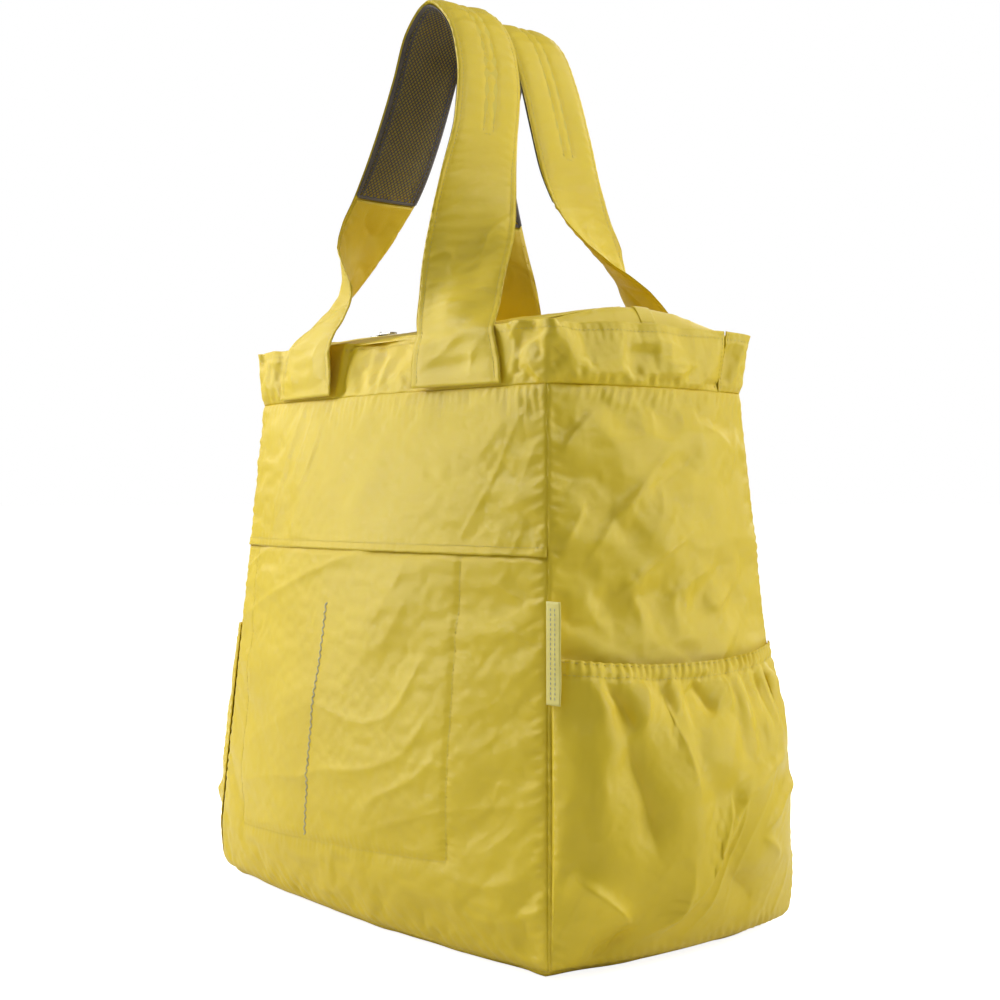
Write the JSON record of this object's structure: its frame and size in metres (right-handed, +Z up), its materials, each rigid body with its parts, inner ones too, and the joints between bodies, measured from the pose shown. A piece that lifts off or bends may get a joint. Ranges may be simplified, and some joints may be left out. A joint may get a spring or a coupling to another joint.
{
  "type": "foldable tote bag",
  "caption": "Foldable tote bag of thin nylon with a zip top, padded shoulder straps, a front stow pocket and gathered side pockets.",
  "frame": {"origin": "on the ground under the middle of the bag", "axes": "+Z up, +X along the front towards the side that carries the label, the front faces -Y"},
  "size_m": [0.4728, 0.2573, 0.6523],
  "materials": {
    "nylon": "thin shiny ripstop-free nylon, soft sheen",
    "lining": "reverse side of the nylon, satin",
    "binding": "woven tape, matt",
    "elastic": "covered elastic, matt",
    "air_mesh": "open knitted mesh, matt",
    "foam": "soft foam, matt",
    "thread": "thread, satin",
    "zip_tape": "woven tape, satin",
    "zip_coil": "moulded coil, satin",
    "metal": "die-cast nickel, satin",
    "label": "folded ribbon, satin"
  },
  "bodies": {
    "bag": {"front_lower_panel": "nylon", "front_upper_panel": "nylon", "back_panel": "nylon", "right_gusset": "nylon", "left_gusset": "nylon", "bottom_panel": "nylon", "front_band": "nylon", "rear_band": "nylon", "rim_binding": "binding", "front_left_seam_binding": "binding", "front_right_seam_binding": "binding", "rear_right_seam_binding": "binding", "rear_left_seam_binding": "binding", "front_pocket_lining": "lining", "zigzag_seam": "thread", "right_side_pocket": "nylon", "right_pocket_elastic": "elastic", "left_side_pocket": "nylon", "left_pocket_elastic": "elastic", "left_closure_end": "nylon", "left_zip_tab": "lining", "right_closure_end": "nylon", "right_zip_tab": "lining"},
    "front_strap": {"front_strap_shell": "nylon", "front_strap_pad": "foam", "front_strap_mesh": "air_mesh", "front_strap_left_lining": "lining", "front_strap_right_lining": "lining"},
    "rear_strap": {"rear_strap_shell": "nylon", "rear_strap_pad": "foam", "rear_strap_mesh": "air_mesh", "rear_strap_left_lining": "lining", "rear_strap_right_lining": "lining"},
    "front_flap": {"front_closure_flap": "nylon", "top_zip_front_tape": "zip_tape", "top_zip_front_coil": "zip_coil"},
    "rear_flap": {"rear_closure_flap": "nylon", "top_zip_rear_tape": "zip_tape", "top_zip_rear_coil": "zip_coil"},
    "slider": {"zip_slider": "metal"},
    "pull": {"zip_pull": "metal"},
    "label": {"label_tab": "label"}
  },
  "joints": [
    {"name": "front_strap_swing", "type": "hinge", "parent": "bag", "child": "front_strap", "pos_m": [0, -0.1085, 0.367], "axis": [1, 0, 0], "range_deg": [0, 170]},
    {"name": "rear_strap_swing", "type": "hinge", "parent": "bag", "child": "rear_strap", "pos_m": [0, 0.1085, 0.367], "axis": [-1, 0, 0], "range_deg": [0, 170]},
    {"name": "front_flap_fold", "type": "hinge", "parent": "bag", "child": "front_flap", "pos_m": [0, -0.0889, 0.4035], "axis": [-1, 0, 0], "range_deg": [0, 90]},
    {"name": "rear_flap_fold", "type": "hinge", "parent": "bag", "child": "rear_flap", "pos_m": [0, 0.0889, 0.4035], "axis": [1, 0, 0], "range_deg": [0, 90]},
    {"name": "zip_slider_travel", "type": "slide", "parent": "front_flap", "child": "slider", "axis": [1, 0, 0], "range_m": [0, 0.28]},
    {"name": "zip_pull_swing", "type": "hinge", "parent": "slider", "child": "pull", "pos_m": [-0.14, 0, 0.4244], "axis": [0, -1, 0], "range_deg": [0, 170]},
    {"name": "label_swing", "type": "hinge", "parent": "bag", "child": "label", "pos_m": [0.1855, -0.10317, 0.168], "axis": [0.0808, -0.0686, -0.9944], "range_deg": [0, 120]}
  ]
}
